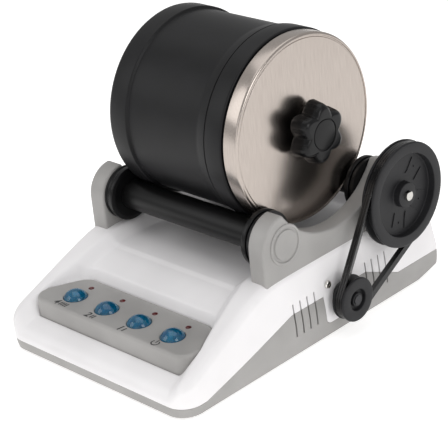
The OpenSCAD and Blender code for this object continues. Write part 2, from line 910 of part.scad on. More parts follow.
tray();
upper_shell();
rubber_feet();
base_screws();
left_bracket();
right_bracket();
bracket_screws();
bearing_collars();
shaft_bushings();
control_panel();
lamp_lenses();
circuit_board();
button_switches();
motor_housing();
motor_end_bell();
motor_screws();
drive_belt();
cord_gland();
terminal_block();
lid_gasket();
barrel_shell();
inner_lid();
lid_stud();
lid_cover();
knob_washer();
star_knob();
knob_insert();
drive_shaft();
drive_sleeve();
drive_flanges();
drive_pulley();
idler_shaft();
idler_sleeve();
idler_flanges();
motor_shaft();
motor_pulley();
button_4();
button_2();
button_1();
button_power();
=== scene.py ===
import math

import bmesh
import bpy
from mathutils import Matrix, Vector


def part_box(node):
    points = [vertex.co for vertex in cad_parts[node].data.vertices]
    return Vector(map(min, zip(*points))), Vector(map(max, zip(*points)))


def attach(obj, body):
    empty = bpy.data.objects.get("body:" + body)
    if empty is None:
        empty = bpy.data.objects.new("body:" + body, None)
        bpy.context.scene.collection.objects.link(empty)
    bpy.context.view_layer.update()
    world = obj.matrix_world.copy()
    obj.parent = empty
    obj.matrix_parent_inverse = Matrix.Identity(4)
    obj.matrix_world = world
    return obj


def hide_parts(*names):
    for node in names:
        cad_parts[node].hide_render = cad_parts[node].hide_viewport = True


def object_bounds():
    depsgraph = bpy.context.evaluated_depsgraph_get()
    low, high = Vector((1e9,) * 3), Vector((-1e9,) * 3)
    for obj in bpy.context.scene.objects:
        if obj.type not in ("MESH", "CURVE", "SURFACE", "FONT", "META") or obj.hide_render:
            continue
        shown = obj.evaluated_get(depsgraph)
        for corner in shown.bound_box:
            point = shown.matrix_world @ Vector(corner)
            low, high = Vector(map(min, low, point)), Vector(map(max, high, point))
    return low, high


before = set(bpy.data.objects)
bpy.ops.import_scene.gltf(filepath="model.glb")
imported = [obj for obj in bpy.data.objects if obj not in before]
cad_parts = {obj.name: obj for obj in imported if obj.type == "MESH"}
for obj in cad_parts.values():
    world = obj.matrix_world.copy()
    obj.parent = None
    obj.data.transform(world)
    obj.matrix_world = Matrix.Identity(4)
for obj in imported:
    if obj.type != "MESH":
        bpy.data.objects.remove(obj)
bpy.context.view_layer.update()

mm = 0.001
scene = bpy.context.scene


def boxOf(node):
    low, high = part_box(node)
    return Vector(low), Vector(high)


def midOf(node):
    low, high = boxOf(node)
    return (low + high) / 2


barrelAxis = midOf("barrel_shell")
driveAxis = midOf("drive_sleeve")
idlerAxis = midOf("idler_sleeve")
motorAxis = midOf("motor_pulley")
trayLow, trayHigh = boxOf("tray")

middleX = (trayLow.x + trayHigh.x) / 2
groundPoint = Vector((middleX, barrelAxis.y, trayLow.z))  # under the barrel, on the tray's underside


def fromBase(x, y, h):  # millimetres from the base's own zero point
    return groundPoint + Vector((x, y, h)) * mm


def meshPiece(name, points, faces, material, sharp=35):
    mesh = bpy.data.meshes.new(name)
    mesh.from_pydata([tuple(p) for p in points], [], faces)
    return finishMesh(name, mesh, material, sharp)


def finishMesh(name, mesh, material, sharp=35, turn=True):
    work = bmesh.new()
    work.from_mesh(mesh)
    if turn:
        bmesh.ops.remove_doubles(work, verts=work.verts, dist=0.002 * mm)
        bmesh.ops.recalc_face_normals(work, faces=work.faces)
    work.to_mesh(mesh)
    work.free()
    mesh.materials.clear()
    mesh.materials.append(material)
    mesh.shade_smooth()
    mesh.set_sharp_from_angle(angle=math.radians(sharp))
    piece = bpy.data.objects.new(name, mesh)
    scene.collection.objects.link(piece)
    return piece


def settle(piece):
    graph = bpy.context.evaluated_depsgraph_get()
    mesh = bpy.data.meshes.new_from_object(piece.evaluated_get(graph))
    piece.modifiers.clear()
    old = piece.data
    piece.data = mesh
    bpy.data.meshes.remove(old)
    return piece


def carve(piece, tool, operation="DIFFERENCE"):
    cutter = piece.modifiers.new("carve", "BOOLEAN")
    cutter.operation = operation
    cutter.solver = "MANIFOLD"
    cutter.object = tool
    settle(piece)
    drop(tool)
    return piece


def drop(piece):
    mesh = piece.data
    bpy.data.objects.remove(piece)
    bpy.data.meshes.remove(mesh)


def softenEdges(piece, width, segments=3, angle=32):
    bevel = piece.modifiers.new("soften", "BEVEL")
    bevel.width = width * mm
    bevel.segments = segments
    bevel.limit_method = "ANGLE"
    bevel.angle_limit = math.radians(angle)
    bevel.harden_normals = False
    settle(piece)
    piece.data.shade_smooth()
    piece.data.set_sharp_from_angle(angle=math.radians(50))
    return piece


def arcCorner(before, corner, after, radius, steps):
    a, b, c = Vector(before), Vector(corner), Vector(after)
    u, w = (a - b).normalized(), (c - b).normalized()
    half = math.acos(max(-1, min(1, u.dot(w)))) / 2
    back = radius / math.tan(half)
    centre = b + (u + w).normalized() * radius / math.sin(half)
    start, end = b + u * back - centre, b + w * back - centre
    first = math.atan2(start.y, start.x)
    turn = (math.atan2(end.y, end.x) - first + 3 * math.pi) % (2 * math.pi) - math.pi
    turns = [first + turn * i / steps for i in range(steps + 1)]
    return [centre + radius * Vector((math.cos(t), math.sin(t))) for t in turns]


def rounded(points, radii, steps=5):
    outline = []
    count = len(points)
    for i, (point, radius) in enumerate(zip(points, radii)):
        if radius > 0:
            outline += arcCorner(points[i - 1], point, points[(i + 1) % count], radius, steps)
        else:
            outline.append(Vector(point))
    return outline


def turnedPiece(name, profile, centre, material, along="x", segments=144, sharp=35):
    # profile holds (distance along the axis, radius) in millimetres, from the frame's zero
    points, faces = [], []
    count = len(profile)
    for i in range(segments):
        angle = 2 * math.pi * i / segments
        for t, radius in profile:
            u, v = radius * mm * math.cos(angle), radius * mm * math.sin(angle)
            points.append((t * mm, centre.y + u, centre.z + v) if along == "x"
                          else (centre.x + u, centre.y + v, t * mm))
    for i in range(segments):
        here, there = i * count, (i + 1) % segments * count
        for k in range(count):
            nextK = (k + 1) % count
            if profile[k][1] > 1e-6 or profile[nextK][1] > 1e-6:
                faces.append((here + k, here + nextK, there + nextK, there + k))
    return meshPiece(name, points, faces, material, sharp)


def loftedPiece(name, rings, material, sharp=35, capStart=True, capEnd=True, loop=False):
    count = len(rings[0])
    points = [p for ring in rings for p in ring]
    faces = []
    for r in range(len(rings) if loop else len(rings) - 1):
        here, there = r * count, (r + 1) % len(rings) * count
        faces += [(here + i, here + (i + 1) % count, there + (i + 1) % count, there + i)
                  for i in range(count)]
    if capStart:
        faces.append(tuple(range(count)))
    if capEnd:
        faces.append(tuple(range((len(rings) - 1) * count, len(rings) * count)))
    return meshPiece(name, points, faces, material, sharp)


def prismPiece(name, outline, low, high, material, plane="yz"):
    if plane == "yz":
        points = [(t, p[0], p[1]) for t in (low, high) for p in outline]
    else:
        points = [(p[0], p[1], t) for t in (low, high) for p in outline]
    count = len(outline)
    faces = [tuple(range(count)), tuple(range(2 * count - 1, count - 1, -1))]
    faces += [(i, (i + 1) % count, count + (i + 1) % count, count + i) for i in range(count)]
    return meshPiece(name, points, faces, material)


def circle(x, y, radius, count):
    turns = [2 * math.pi * k / count for k in range(count)]
    return [(x + radius * math.cos(t), y + radius * math.sin(t)) for t in turns]


def joined(name, pieces):
    mesh = bpy.data.meshes.new(name)
    work = bmesh.new()
    for piece in pieces:
        work.from_mesh(piece.data)
    work.to_mesh(mesh)
    work.free()
    material = pieces[0].data.materials[0]
    result = finishMesh(name, mesh, material, turn=False)
    for piece in pieces:
        drop(piece)
    return result


def place(piece, body, slot, *nodes):
    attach(piece, body)
    if nodes:
        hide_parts(*nodes)
    return piece


def linear(code):
    parts = [int(code[i:i + 2], 16) / 255 for i in (1, 3, 5)]
    return [c / 12.92 if c <= 0.04045 else ((c + 0.055) / 1.055) ** 2.4 for c in parts] + [1.0]


def addNode(tree, kind, feeds=None, **settings):
    node = tree.nodes.new(kind)
    for key, value in settings.items():
        setattr(node, key, value)
    for socket, feed in (feeds or {}).items():
        if isinstance(feed, bpy.types.NodeSocket):
            tree.links.new(feed, node.inputs[socket])
        else:
            node.inputs[socket].default_value = feed
    return node


def newSurface(name):
    material = bpy.data.materials.new(name)
    material.use_nodes = True
    tree = material.node_tree
    where = addNode(tree, "ShaderNodeTexCoord").outputs["Object"]
    return material, tree, tree.nodes["Principled BSDF"], where


def colouredBy(tree, shader, pattern, look):
    # the pattern mixes the two tones and moves the roughness a little
    tones = addNode(tree, "ShaderNodeMix", {
        "Factor": addNode(tree, "ShaderNodeMapRange", {
            "Value": pattern, "From Min": 0.3, "From Max": 0.7}).outputs["Result"],
        6: linear(look["dark"]), 7: linear(look["light"])}, data_type="RGBA")
    tree.links.new(tones.outputs[2], shader.inputs["Base Color"])
    rough = addNode(tree, "ShaderNodeMapRange", {
        "Value": pattern, "To Min": look["rough"] - 0.04, "To Max": look["rough"] + 0.05})
    tree.links.new(rough.outputs["Result"], shader.inputs["Roughness"])


# cloud, bloom, grain, line and swirl are widths in millimetres, and relief is a height;
# mould grain and brush lines are drawn coarser than the real ones, so that they show
def mouldedPlastic(name, look):
    # injection moulded: an even colour with faint clouds, over a fine spark-eroded grain
    material, tree, shader, where = newSurface(name)
    clouds = addNode(tree, "ShaderNodeTexNoise", {
        "Vector": where, "Scale": 1000 / look["cloud"], "Detail": 2.0})
    colouredBy(tree, shader, clouds.outputs["Fac"], look)
    grain = addNode(tree, "ShaderNodeTexNoise", {
        "Vector": where, "Scale": 1000 / look["grain"], "Detail": 3.0})
    bump = addNode(tree, "ShaderNodeBump", {
        "Height": grain.outputs["Fac"], "Distance": look["relief"] * mm})
    tree.links.new(bump.outputs["Normal"], shader.inputs["Normal"])
    shader.inputs["IOR"].default_value = 1.5
    shader.inputs["Specular IOR Level"].default_value = look.get("gloss", 0.5)
    return material


whiteAbs = mouldedPlastic("whiteAbs", {  # ABS: clean white, with wide soft highlights
    "dark": "#E9E7E8", "light": "#F1EFF0", "cloud": 60, "rough": 0.34, "grain": 0.9, "relief": 0.008})
greyAbs = mouldedPlastic("greyAbs", {  # the same plastic in warm grey, with a duller skin
    "dark": "#999795", "light": "#A5A3A1", "cloud": 40, "rough": 0.42, "grain": 0.6, "relief": 0.012})
blackNylon = mouldedPlastic("blackNylon", {  # glass-filled nylon: deep black, half polished
    "dark": "#09090A", "light": "#101011", "cloud": 18, "gloss": 0.25, "rough": 0.28,
    "grain": 0.7, "relief": 0.008})
pulleyNylon = mouldedPlastic("pulleyNylon", {  # a rougher nylon that scatters light to dark grey
    "dark": "#1B1B1D", "light": "#232325", "cloud": 14, "gloss": 0.25, "rough": 0.44,
    "grain": 0.5, "relief": 0.015})
knobPhenolic = mouldedPlastic("knobPhenolic", {  # phenolic: hard and black, with small sharp lights
    "dark": "#0A0A0B", "light": "#111112", "cloud": 12, "gloss": 0.25, "rough": 0.24,
    "grain": 0.8, "relief": 0.006})
solderMask = mouldedPlastic("solderMask", {  # lacquer over a circuit board: glossy green
    "dark": "#1A5A31", "light": "#237043", "cloud": 9, "rough": 0.3, "grain": 1.2, "relief": 0.01})
printInk = mouldedPlastic("printInk", {  # pad-printed ink: matt, nearly black
    "dark": "#1C1C1E", "light": "#262628", "cloud": 6, "rough": 0.5, "grain": 0.4, "relief": 0.004})


def mouldedRubber(name, look):
    # carbon-filled rubber: near black, with a soft wide shine and a dusty bloom in clouds
    material, tree, shader, where = newSurface(name)
    bloom = addNode(tree, "ShaderNodeTexNoise", {
        "Vector": where, "Scale": 1000 / look["bloom"], "Detail": 4.0})
    colouredBy(tree, shader, bloom.outputs["Fac"], look)
    pores = addNode(tree, "ShaderNodeTexNoise", {
        "Vector": where, "Scale": 1000 / look["grain"], "Detail": 2.0})
    bump = addNode(tree, "ShaderNodeBump", {
        "Height": pores.outputs["Fac"], "Distance": look["relief"] * mm})
    tree.links.new(bump.outputs["Normal"], shader.inputs["Normal"])
    shader.inputs["IOR"].default_value = 1.52
    shader.inputs["Specular IOR Level"].default_value = look["gloss"]
    return material


barrelRubber = mouldedRubber("barrelRubber", {  # thick moulded rubber: matt, slightly clouded
    "dark": "#111112", "light": "#19191B", "bloom": 34, "gloss": 0.22, "rough": 0.42,
    "grain": 0.8, "relief": 0.02})
rollerRubber = mouldedRubber("rollerRubber", {  # ground rubber tube: darker and smoother
    "dark": "#090909", "light": "#101011", "bloom": 22, "gloss": 0.22, "rough": 0.34,
    "grain": 0.7, "relief": 0.015})
beltRubber = mouldedRubber("beltRubber", {  # neoprene belt: its cut edges catch fine bright lines
    "dark": "#0B0B0C", "light": "#131314", "bloom": 10, "gloss": 0.6, "rough": 0.26,
    "grain": 0.5, "relief": 0.03})
footRubber = mouldedRubber("footRubber", {  # soft foot and gasket rubber: quite dull
    "dark": "#1B1B1C", "light": "#262627", "bloom": 8, "gloss": 0.22, "rough": 0.6,
    "grain": 0.6, "relief": 0.03})


def metalFinish(name, look):
    # bare metal: grain from brushing or turning, stretched along the way the tool ran
    material, tree, shader, where = newSurface(name)
    lines = addNode(tree, "ShaderNodeMapping", {"Vector": where, "Scale": look["stretch"]})
    strokes = addNode(tree, "ShaderNodeTexNoise", {
        "Vector": lines.outputs["Vector"], "Scale": 1000 / look["line"], "Detail": 4.0})
    colouredBy(tree, shader, strokes.outputs["Fac"], look)
    bump = addNode(tree, "ShaderNodeBump", {
        "Height": strokes.outputs["Fac"], "Distance": look["relief"] * mm})
    tree.links.new(bump.outputs["Normal"], shader.inputs["Normal"])
    shader.inputs["Metallic"].default_value = 1.0
    return material


brushedLid = metalFinish("brushedLid", {  # brushed stainless: upright lines and blurred reflections
    "dark": "#AEA49D", "light": "#BDB4AD", "stretch": (1, 1, 0.03), "line": 0.5, "rough": 0.22,
    "relief": 0.0012})
turnedSteel = metalFinish("turnedSteel", {  # turned steel: bright, with fine rings round the shaft
    "dark": "#B9B7B2", "light": "#D2D0CC", "stretch": (1, 0.2, 1), "line": 0.3, "rough": 0.2,
    "relief": 0.002})
zincPlate = metalFinish("zincPlate", {  # zinc plated can: pale grey with a soft bloom
    "dark": "#A9ABAA", "light": "#C4C6C4", "stretch": (1, 1, 1), "line": 1.2, "rough": 0.28,
    "relief": 0.002})
chromedSteel = metalFinish("chromedSteel", {  # chromed screws: nearly a mirror
    "dark": "#D0CDC9", "light": "#DEDBD8", "stretch": (1, 1, 1), "line": 0.8, "rough": 0.12,
    "relief": 0.001})
sinteredBronze = metalFinish("sinteredBronze", {  # oil-soaked bronze bushings: brown gold and grainy
    "dark": "#8F6A33", "light": "#B28C4C", "stretch": (1, 1, 1), "line": 0.4, "rough": 0.38,
    "relief": 0.004})
blackenedSteel = metalFinish("blackenedSteel", {  # oxide blacked shaft: dark with a dull shine
    "dark": "#3A3A3C", "light": "#4C4C4E", "stretch": (1, 1, 1), "line": 0.6, "rough": 0.4,
    "relief": 0.003})


def clearPlastic(name, look):
    # tinted polycarbonate: light passes through and takes the tint, under a polished skin
    material, tree, shader, where = newSurface(name)
    swirl = addNode(tree, "ShaderNodeTexNoise", {
        "Vector": where, "Scale": 1000 / look["swirl"], "Detail": 2.0})
    colouredBy(tree, shader, swirl.outputs["Fac"], look)
    bump = addNode(tree, "ShaderNodeBump", {
        "Height": swirl.outputs["Fac"], "Distance": look["relief"] * mm})
    tree.links.new(bump.outputs["Normal"], shader.inputs["Normal"])
    shader.inputs["Transmission Weight"].default_value = look["clear"]
    shader.inputs["IOR"].default_value = 1.58
    return material


bluePolycarbonate = clearPlastic("bluePolycarbonate", {  # the domes: clear sky blue
    "dark": "#078BBB", "light": "#24B8DE", "swirl": 9, "clear": 0.8, "rough": 0.05, "relief": 0.02})
deepBlueCore = clearPlastic("deepBlueCore", {  # the cut core that glows dark blue inside a dome
    "dark": "#03306A", "light": "#0E70AE", "swirl": 5, "clear": 0.2, "rough": 0.12, "relief": 0.1})
redLens = clearPlastic("redLens", {  # small unlit lamps: dark red
    "dark": "#4A0A0D", "light": "#6E1216", "swirl": 4, "clear": 0.3, "rough": 0.1, "relief": 0.01})
print("materials ready")


base = {"half": 107.8, "front": -191, "rear": 119.5, "top": 73, "nose": 26.6, "slopeEnd": -90,
        "frontRound": 18, "rearRound": 3, "sideLean": 5.2, "rearLean": 8, "leanFrom": 24,
        "sideEdge": 7, "noseEdge": 8, "channelHalf": 75, "channelFlare": 20, "channelDepth": 8.3,
        "channelRear": 77.5, "sideRamp": 14, "rearRamp": 12, "chamferHigh": 7.3, "chamferLong": 25,
        "taper": 1.8, "taperHigh": 14, "wall": 2.5}
slope = (base["top"] - base["nose"]) / (base["slopeEnd"] - base["front"])


def eased(t):
    t = max(0.0, min(1.0, t))
    return t * t * (3 - 2 * t)


def leanShare(h):
    return max(0.0, min(1.0, (h - base["leanFrom"]) / (base["top"] - base["leanFrom"])))


def railHeight(y):  # the rails beside the channel, with a soft knee where the slope meets the top
    a, b = base["nose"] + slope * (y - base["front"]), base["top"]
    return (a + b - math.sqrt((a - b) ** 2 + 36)) / 2


def drawnIn(x, y, h, inset=0.0):  # the leaning sides and rear at height h
    rearShare = max(0.0, min(1.0, (y - 20) / (base["rear"] - 20)))
    frontTuck = 0.7 * inset if y < -150 else 0
    return (x * (base["half"] - base["sideLean"] * leanShare(h) - inset) / base["half"],
            y - (base["rearLean"] * leanShare(h) + inset) * rearShare + frontTuck)


def floorHeight(y):  # the underside, with its chamfer below the rear edge
    return max(0.0, (y - base["rear"] + base["chamferLong"]) * base["chamferHigh"] / base["chamferLong"])


def tuckedIn(h):  # the walls draw in towards the underside
    return base["taper"] * max(0.0, 1 - h / base["taperHigh"]) ** 2


def cornered(x, y):  # square corners of the grid pulled onto the round ones; gives the edge distance too
    side = 1 if x > 0 else -1
    middle = (base["front"] + base["rear"]) / 2
    radius = base["frontRound"] if y < middle else base["rearRound"]
    edge = base["noseEdge"] if y < middle else base["sideEdge"]
    cx = base["half"] - radius
    cy = base["front"] + radius if y < middle else base["rear"] - radius
    a, b = (abs(x) - cx) / radius, (cy - y if y < middle else y - cy) / radius
    if a <= 0 or b <= 0:
        sideGap = base["half"] - abs(x)
        endGap = y - base["front"] if y < middle else base["rear"] - y
        return x, y, (sideGap, base["sideEdge"]) if sideGap < endGap else (endGap, edge)
    u, v = a * math.sqrt(1 - b * b / 2), b * math.sqrt(1 - a * a / 2)
    share = math.atan2(v, u) / (math.pi / 2)
    gap = radius * (1 - math.hypot(u, v))
    return (side * (cx + radius * u), cy - radius * v if y < middle else cy + radius * v,
            (gap, base["sideEdge"] + (edge - base["sideEdge"]) * share))


panel = {"half": 91, "rearHalf": 75, "front": -171.5, "rear": -121, "top": 42, "low": 20.5, "round": 12,
         "taper": 18, "edge": 2.6, "thick": 2.5, "gap": 0.3, "bank": 2.2, "ledge": 0.8, "lip": 1.6}


def panelOutline(grow, steps=10):
    w, v, p = panel["half"] + grow, panel["rearHalf"] + grow, panel
    return rounded([(-w, p["front"] - grow), (w, p["front"] - grow), (w, p["front"] + p["taper"]),
                    (v, p["rear"] + grow), (-v, p["rear"] + grow), (-w, p["front"] + p["taper"])],
                   [max(0.4, q + grow) for q in (p["round"], p["round"], 4, 14, 14, 4)], steps)


pocketEdge = panelOutline(panel["gap"])


def gapToPocket(x, y):  # how far a point lies outside the panel's pocket
    point, best, inside = Vector((x, y)), 1e9, False
    for i, b in enumerate(pocketEdge):
        a = pocketEdge[i - 1]
        run = b - a
        t = max(0.0, min(1.0, (point - a).dot(run) / run.dot(run)))
        best = min(best, (point - a - run * t).length)
        if (a.y > y) != (b.y > y) and x < a.x + (y - a.y) * run.x / run.y:
            inside = not inside
    return 0.0 if inside else best


def skinHeight(x, y, edgeGap):
    gap, radius = edgeGap
    b, lip = base, panel["lip"]
    down = max(0.0, min(1.0, (b["slopeEnd"] - y) / (b["slopeEnd"] - b["front"])))
    half = b["channelHalf"] + b["channelFlare"] * down
    across = eased((half + 6 - abs(x)) / b["sideRamp"])
    along = eased((b["channelRear"] + 4 - y) / b["rearRamp"])
    depth = b["channelDepth"] * (1.1 if y < b["slopeEnd"] else 1)
    height = railHeight(y) - depth * across * along
    if -185 < y < -100 and abs(x) < 104:  # only near the pocket
        away = gapToPocket(x, y)
        ramp = panel["top"] + panel["ledge"] + away * panel["bank"]  # the steep bank round the panel
        height = (height + ramp - math.sqrt((height - ramp) ** 2 + 0.4)) / 2
        if away < lip:
            height -= lip - math.sqrt(lip ** 2 - (lip - away) ** 2)
    if gap < radius:
        height -= radius - math.sqrt(max(0.0, radius ** 2 - (radius - gap) ** 2))
    return height


def stops(*runs):  # evenly spaced lines over several runs of (from, to, about this far apart)
    lines = []
    for low, high, pitch in runs:
        count = max(1, round(abs(high - low) / pitch))
        lines += [low + (high - low) * i / count for i in range(count)]
    return lines + [runs[-1][1]]


def edgeStops(radius, count=8):
    return [radius * (1 - math.cos(math.pi / 2 * i / count)) for i in range(count)]


def baseBlock(name):
    w, f, r, e, n = base["half"], base["front"], base["rear"], base["sideEdge"], base["noseEdge"]
    half = [w - g for g in edgeStops(e)] + stops((w - e, 60, 1.1), (60, 0, 6))
    xs = [-x for x in half[:-1]] + [0.0] + half[-2::-1]
    ys = ([f + g for g in edgeStops(n)]  # lines lie closer where the shape turns
          + stops((f + n, -126, 1.5), (-126, -112, 0.7), (-112, -76, 2), (-76, 62, 8), (62, r - e, 1.5))
          + [r - g for g in edgeStops(e)][::-1])
    points, faces, tops = [], [], {}
    nx, ny = len(xs), len(ys)
    for j, y0 in enumerate(ys):
        for i, x0 in enumerate(xs):
            x, y, edgeGap = cornered(x0, y0)
            px, py = drawnIn(x, y, railHeight(y))
            height = skinHeight(px, py, edgeGap)
            tops[i, j] = (x, y, height)
            points.append(fromBase(*drawnIn(x, y, max(height, railHeight(y) - 12)), height))
    for j in range(ny - 1):
        for i in range(nx - 1):
            k = j * nx + i
            faces.append((k, k + 1, k + nx + 1, k + nx))
    rim = ([(i, 0) for i in range(nx)] + [(nx - 1, j) for j in range(1, ny)]
           + [(i, ny - 1) for i in range(nx - 2, -1, -1)] + [(0, j) for j in range(ny - 2, 0, -1)])
    ring = [j * nx + i for i, j in rim]
    levels = (0.85, 0.7, 0.55, 0.42, 0.3, 0.2, 0.12, 0.06, 0.02)
    for share in levels:
        start = len(points)
        for i, j in rim:
            x, y, height = tops[i, j]
            h = floorHeight(y) + (height - floorHeight(y)) * share
            points.append(fromBase(*drawnIn(x, y, h, tuckedIn(h)), h))
        newRing = list(range(start, len(points)))
        count = len(rim)
        faces += [(ring[k], newRing[k], newRing[(k + 1) % count], ring[(k + 1) % count])
                  for k in range(count)]
        ring = newRing
    start = len(points)
    for j in range(ny):
        for i in range(nx):
            x, y, height = tops[i, j]
            h = floorHeight(y)
            points.append(fromBase(*drawnIn(x, y, h, tuckedIn(h)), h))
    for j in range(ny - 1):
        for i in range(nx - 1):
            k = start + j * nx + i
            faces.append((k, k + nx, k + nx + 1, k + 1))
    low = [start + j * nx + i for i, j in rim]
    faces += [(ring[k], low[k], low[(k + 1) % count], ring[(k + 1) % count]) for k in range(count)]
    return meshPiece(name, points, faces, whiteAbs)


def twin(piece, name):
    copy = bpy.data.objects.new(name, piece.data.copy())
    scene.collection.objects.link(copy)
    return copy


def pushedIn(piece, depth):
    work = bmesh.new()
    work.from_mesh(piece.data)
    work.normal_update()
    shifts = [v.normal * depth * mm for v in work.verts]
    for v, shift in zip(work.verts, shifts):
        v.co -= shift
    work.to_mesh(piece.data)
    work.free()
    return piece


def upright(name, outline, low, high):  # a prism standing on a plan outline
    return prismPiece(name, [fromBase(p[0], p[1], 0).xy for p in outline],
                      fromBase(0, 0, low).z, fromBase(0, 0, high).z, whiteAbs, "xy")


def sideways(name, outline, low, high, material=whiteAbs):  # a prism lying along the barrel's axis
    return prismPiece(name, [fromBase(0, p[0], p[1]).yz for p in outline],
                      fromBase(low, 0, 0).x, fromBase(high, 0, 0).x, material, "yz")


seam = {"front": 8.5, "ear": 37.2, "rear": 20.5, "notch": 40.2, "notchLow": 11.5, "gap": 0.35}
motor = {"y": -6.6, "h": 30.4, "hole": 11.3}
vents = {"count": 4, "pitch": 8.35, "start": 31.7, "wide": 1.6, "low": 16.5, "high": 45.6}


def trayZone(shrink):
    g, y = shrink, motor["y"]
    zone = sideways("zone", [
        (-230, -20), (-230, seam["front"] - g), (-167, seam["front"] - g), (-66, seam["ear"] - g),
        (25, seam["ear"] - g), (64.4, seam["rear"] - g), (160, seam["rear"] - g), (160, -20)], -140, 140)
    half = seam["notch"] / 2 + g
    notch = sideways("notch", rounded([
        (y - half - 2, seam["ear"] + 9), (y - half, seam["notchLow"] - g), (y + half, seam["notchLow"] - g),
        (y + half + 2, seam["ear"] + 9)], [0, 5, 5, 0]), 60, 150)
    return carve(zone, notch)


outer = baseBlock("outer")
inner = pushedIn(twin(outer, "inner"), base["wall"])
carve(inner, upright("pocket", panelOutline(panel["gap"] + base["wall"]), panel["low"] - 4, 120))
skin = carve(twin(outer, "skin"), inner)
openings = [upright("well", panelOutline(panel["gap"]), panel["low"] - 1.5, 130)]
half = vents["wide"] / 2
for side in (-1, 1):
    for i in range(vents["count"]):
        y = motor["y"] + side * (vents["start"] + vents["pitch"] * i)
        slot = [(y - half, vents["low"]), (y + half, vents["low"]),
                (y + half, vents["high"]), (y - half, vents["high"])]
        openings.append(sideways("vent", rounded(slot, [half * 0.9] * 4, 3), -130, 130))
openings.append(sideways("motorHole", circle(motor["y"], motor["h"], motor["hole"], 48), 60, 130))
carve(skin, joined("openings", openings))
tray = carve(twin(skin, "trayPiece"), trayZone(seam["gap"]), "INTERSECT")
shell = carve(skin, trayZone(0))
tray = finishMesh("baseTray", tray.data, greyAbs, turn=False)
shell = finishMesh("baseShell", shell.data, whiteAbs, turn=False)
for name in ("skin", "trayPiece"):
    bpy.data.objects.remove(bpy.data.objects[name])
place(tray, "base", "grey_plastic", "tray")
place(shell, "base", "white_plastic", "upper_shell")
print("base shell and tray ready", len(shell.data.polygons), len(tray.data.polygons))


shaftZero = middleX / mm  # the base's zero along the barrel, in the frame's millimetres


def atBase(profile):  # profile given from the base's zero
    return [(x + shaftZero, r) for x, r in profile]


def soft(points, radii, steps=4):
    return [(p[0], p[1]) for p in rounded(points, radii, steps)]


bracket = {"inner": 85, "outer": 101.7, "axisHigh": 166.8, "saddle": 74, "saddleDrop": 4.5,
           "bossY": 62.15, "bossH": 97.2, "boss": 25.2, "crest": 3.5, "foot": 60, "soften": 1.9,
           "cap": 17.2, "capProud": 1.2, "bore": 7.8, "shaftHole": 5, "front": 2.5}


def bracketOutline():
    b = bracket
    away = Vector((b["bossY"], b["bossH"] - b["axisHigh"] + b["saddleDrop"]))
    near, far = b["boss"] - b["crest"], b["saddle"] + b["crest"]
    a = (near ** 2 - far ** 2 + away.length ** 2) / (2 * away.length)
    rise = math.sqrt(near ** 2 - a ** 2)
    back = -away.normalized()
    boss = Vector((b["bossY"], b["bossH"]))
    crest = boss + back * a + Vector((-back.y, back.x)) * rise
    other = boss + back * a - Vector((-back.y, back.x)) * rise
    crest = crest if crest.y > other.y else other
    axis = Vector((0, b["axisHigh"] - b["saddleDrop"]))
    onSaddle = math.atan2(*(crest - axis).yx)
    points = []
    for i in range(41):  # half the saddle, from its lowest point out to the crest
        t = -math.pi / 2 + (onSaddle + math.pi / 2) * i / 40
        points.append(axis + b["saddle"] * Vector((math.cos(t), math.sin(t))))
    start, end = math.atan2(*(axis - crest).yx), math.atan2(*(crest - boss).yx)
    turn = (end - start) % (2 * math.pi) - 2 * math.pi
    for i in range(1, 13):
        t = start + turn * i / 12
        points.append(crest + b["crest"] * Vector((math.cos(t), math.sin(t))))
    for i in range(1, 33):
        t = end - end * i / 32
        points.append(boss + b["boss"] * Vector((math.cos(t), math.sin(t))))
    points.append(Vector((b["bossY"] + b["boss"], b["foot"])))
    return points + [Vector((-p.x, p.y)) for p in points[:0:-1]]


def bracketPiece(name, side):
    b = bracket
    low, high = sorted((side * b["inner"], side * b["outer"]))
    body = sideways(name, bracketOutline(), low, high, greyAbs)
    softenEdges(body, b["soften"], 4, 50)
    holes = []
    for s in (-1, 1):
        passes = side > 0 and s > 0  # only the driven shaft comes out through its bracket
        low, high = sorted((side * (b["inner"] - 5), side * (b["outer"] + (5 if passes else -b["front"]))))
        reach = b["shaftHole"] if passes else b["bore"]
        holes.append(sideways("bore", circle(s * b["bossY"], b["bossH"], reach, 40), low, high))
    if side > 0:
        carve(body, sideways("wide", circle(b["bossY"], b["bossH"], b["bore"], 40),
                             b["inner"] - 5, b["outer"] - b["front"]))
    carve(body, joined("bores", holes))
    carve(body, twin(outer, "shoulder"))
    caps = []
    for s in (-1, 1):
        face, top, ring = b["outer"] - 0.5, b["outer"] + b["capProud"], b["cap"]
        profile = soft([(face, 5.2), (face, ring), (top, ring), (top, ring - 2.2), (top - 1.1, ring - 2.6),
                        (top - 1.1, ring - 4.4), (top, ring - 4.8), (top, 5.2)],
                       [0, 0, 1, 0.4, 0.3, 0.3, 0.5, 0.3])
        if not (side > 0 and s > 0):  # a closed cap runs to the middle
            profile[0], profile[-1] = (face, 0), (top, 0)
            profile = [p if p[1] > 5.3 or p[1] == 0 else (p[0], 0) for p in profile]
        profile = [(side * x + shaftZero, r) for x, r in profile]
        caps.append(turnedPiece("cap", profile, fromBase(0, s * b["bossY"], b["bossH"]), greyAbs))
    whole = joined(name + "Whole", [body] + caps)
    return place(whole, "base", "grey_plastic", "right_bracket" if side > 0 else "left_bracket")


bracketPiece("rightBracket", 1)
bracketPiece("leftBracket", -1)
drop(outer)
print("brackets ready")


barrel = {"end": 73.25, "band": 80.2, "body": 77.7, "backBand": 21.5, "frontBand": (39.75, 57.25),
          "flare": 11, "neck": 76.7, "neckEnd": 69, "mouth": 69.7, "wall": 5}


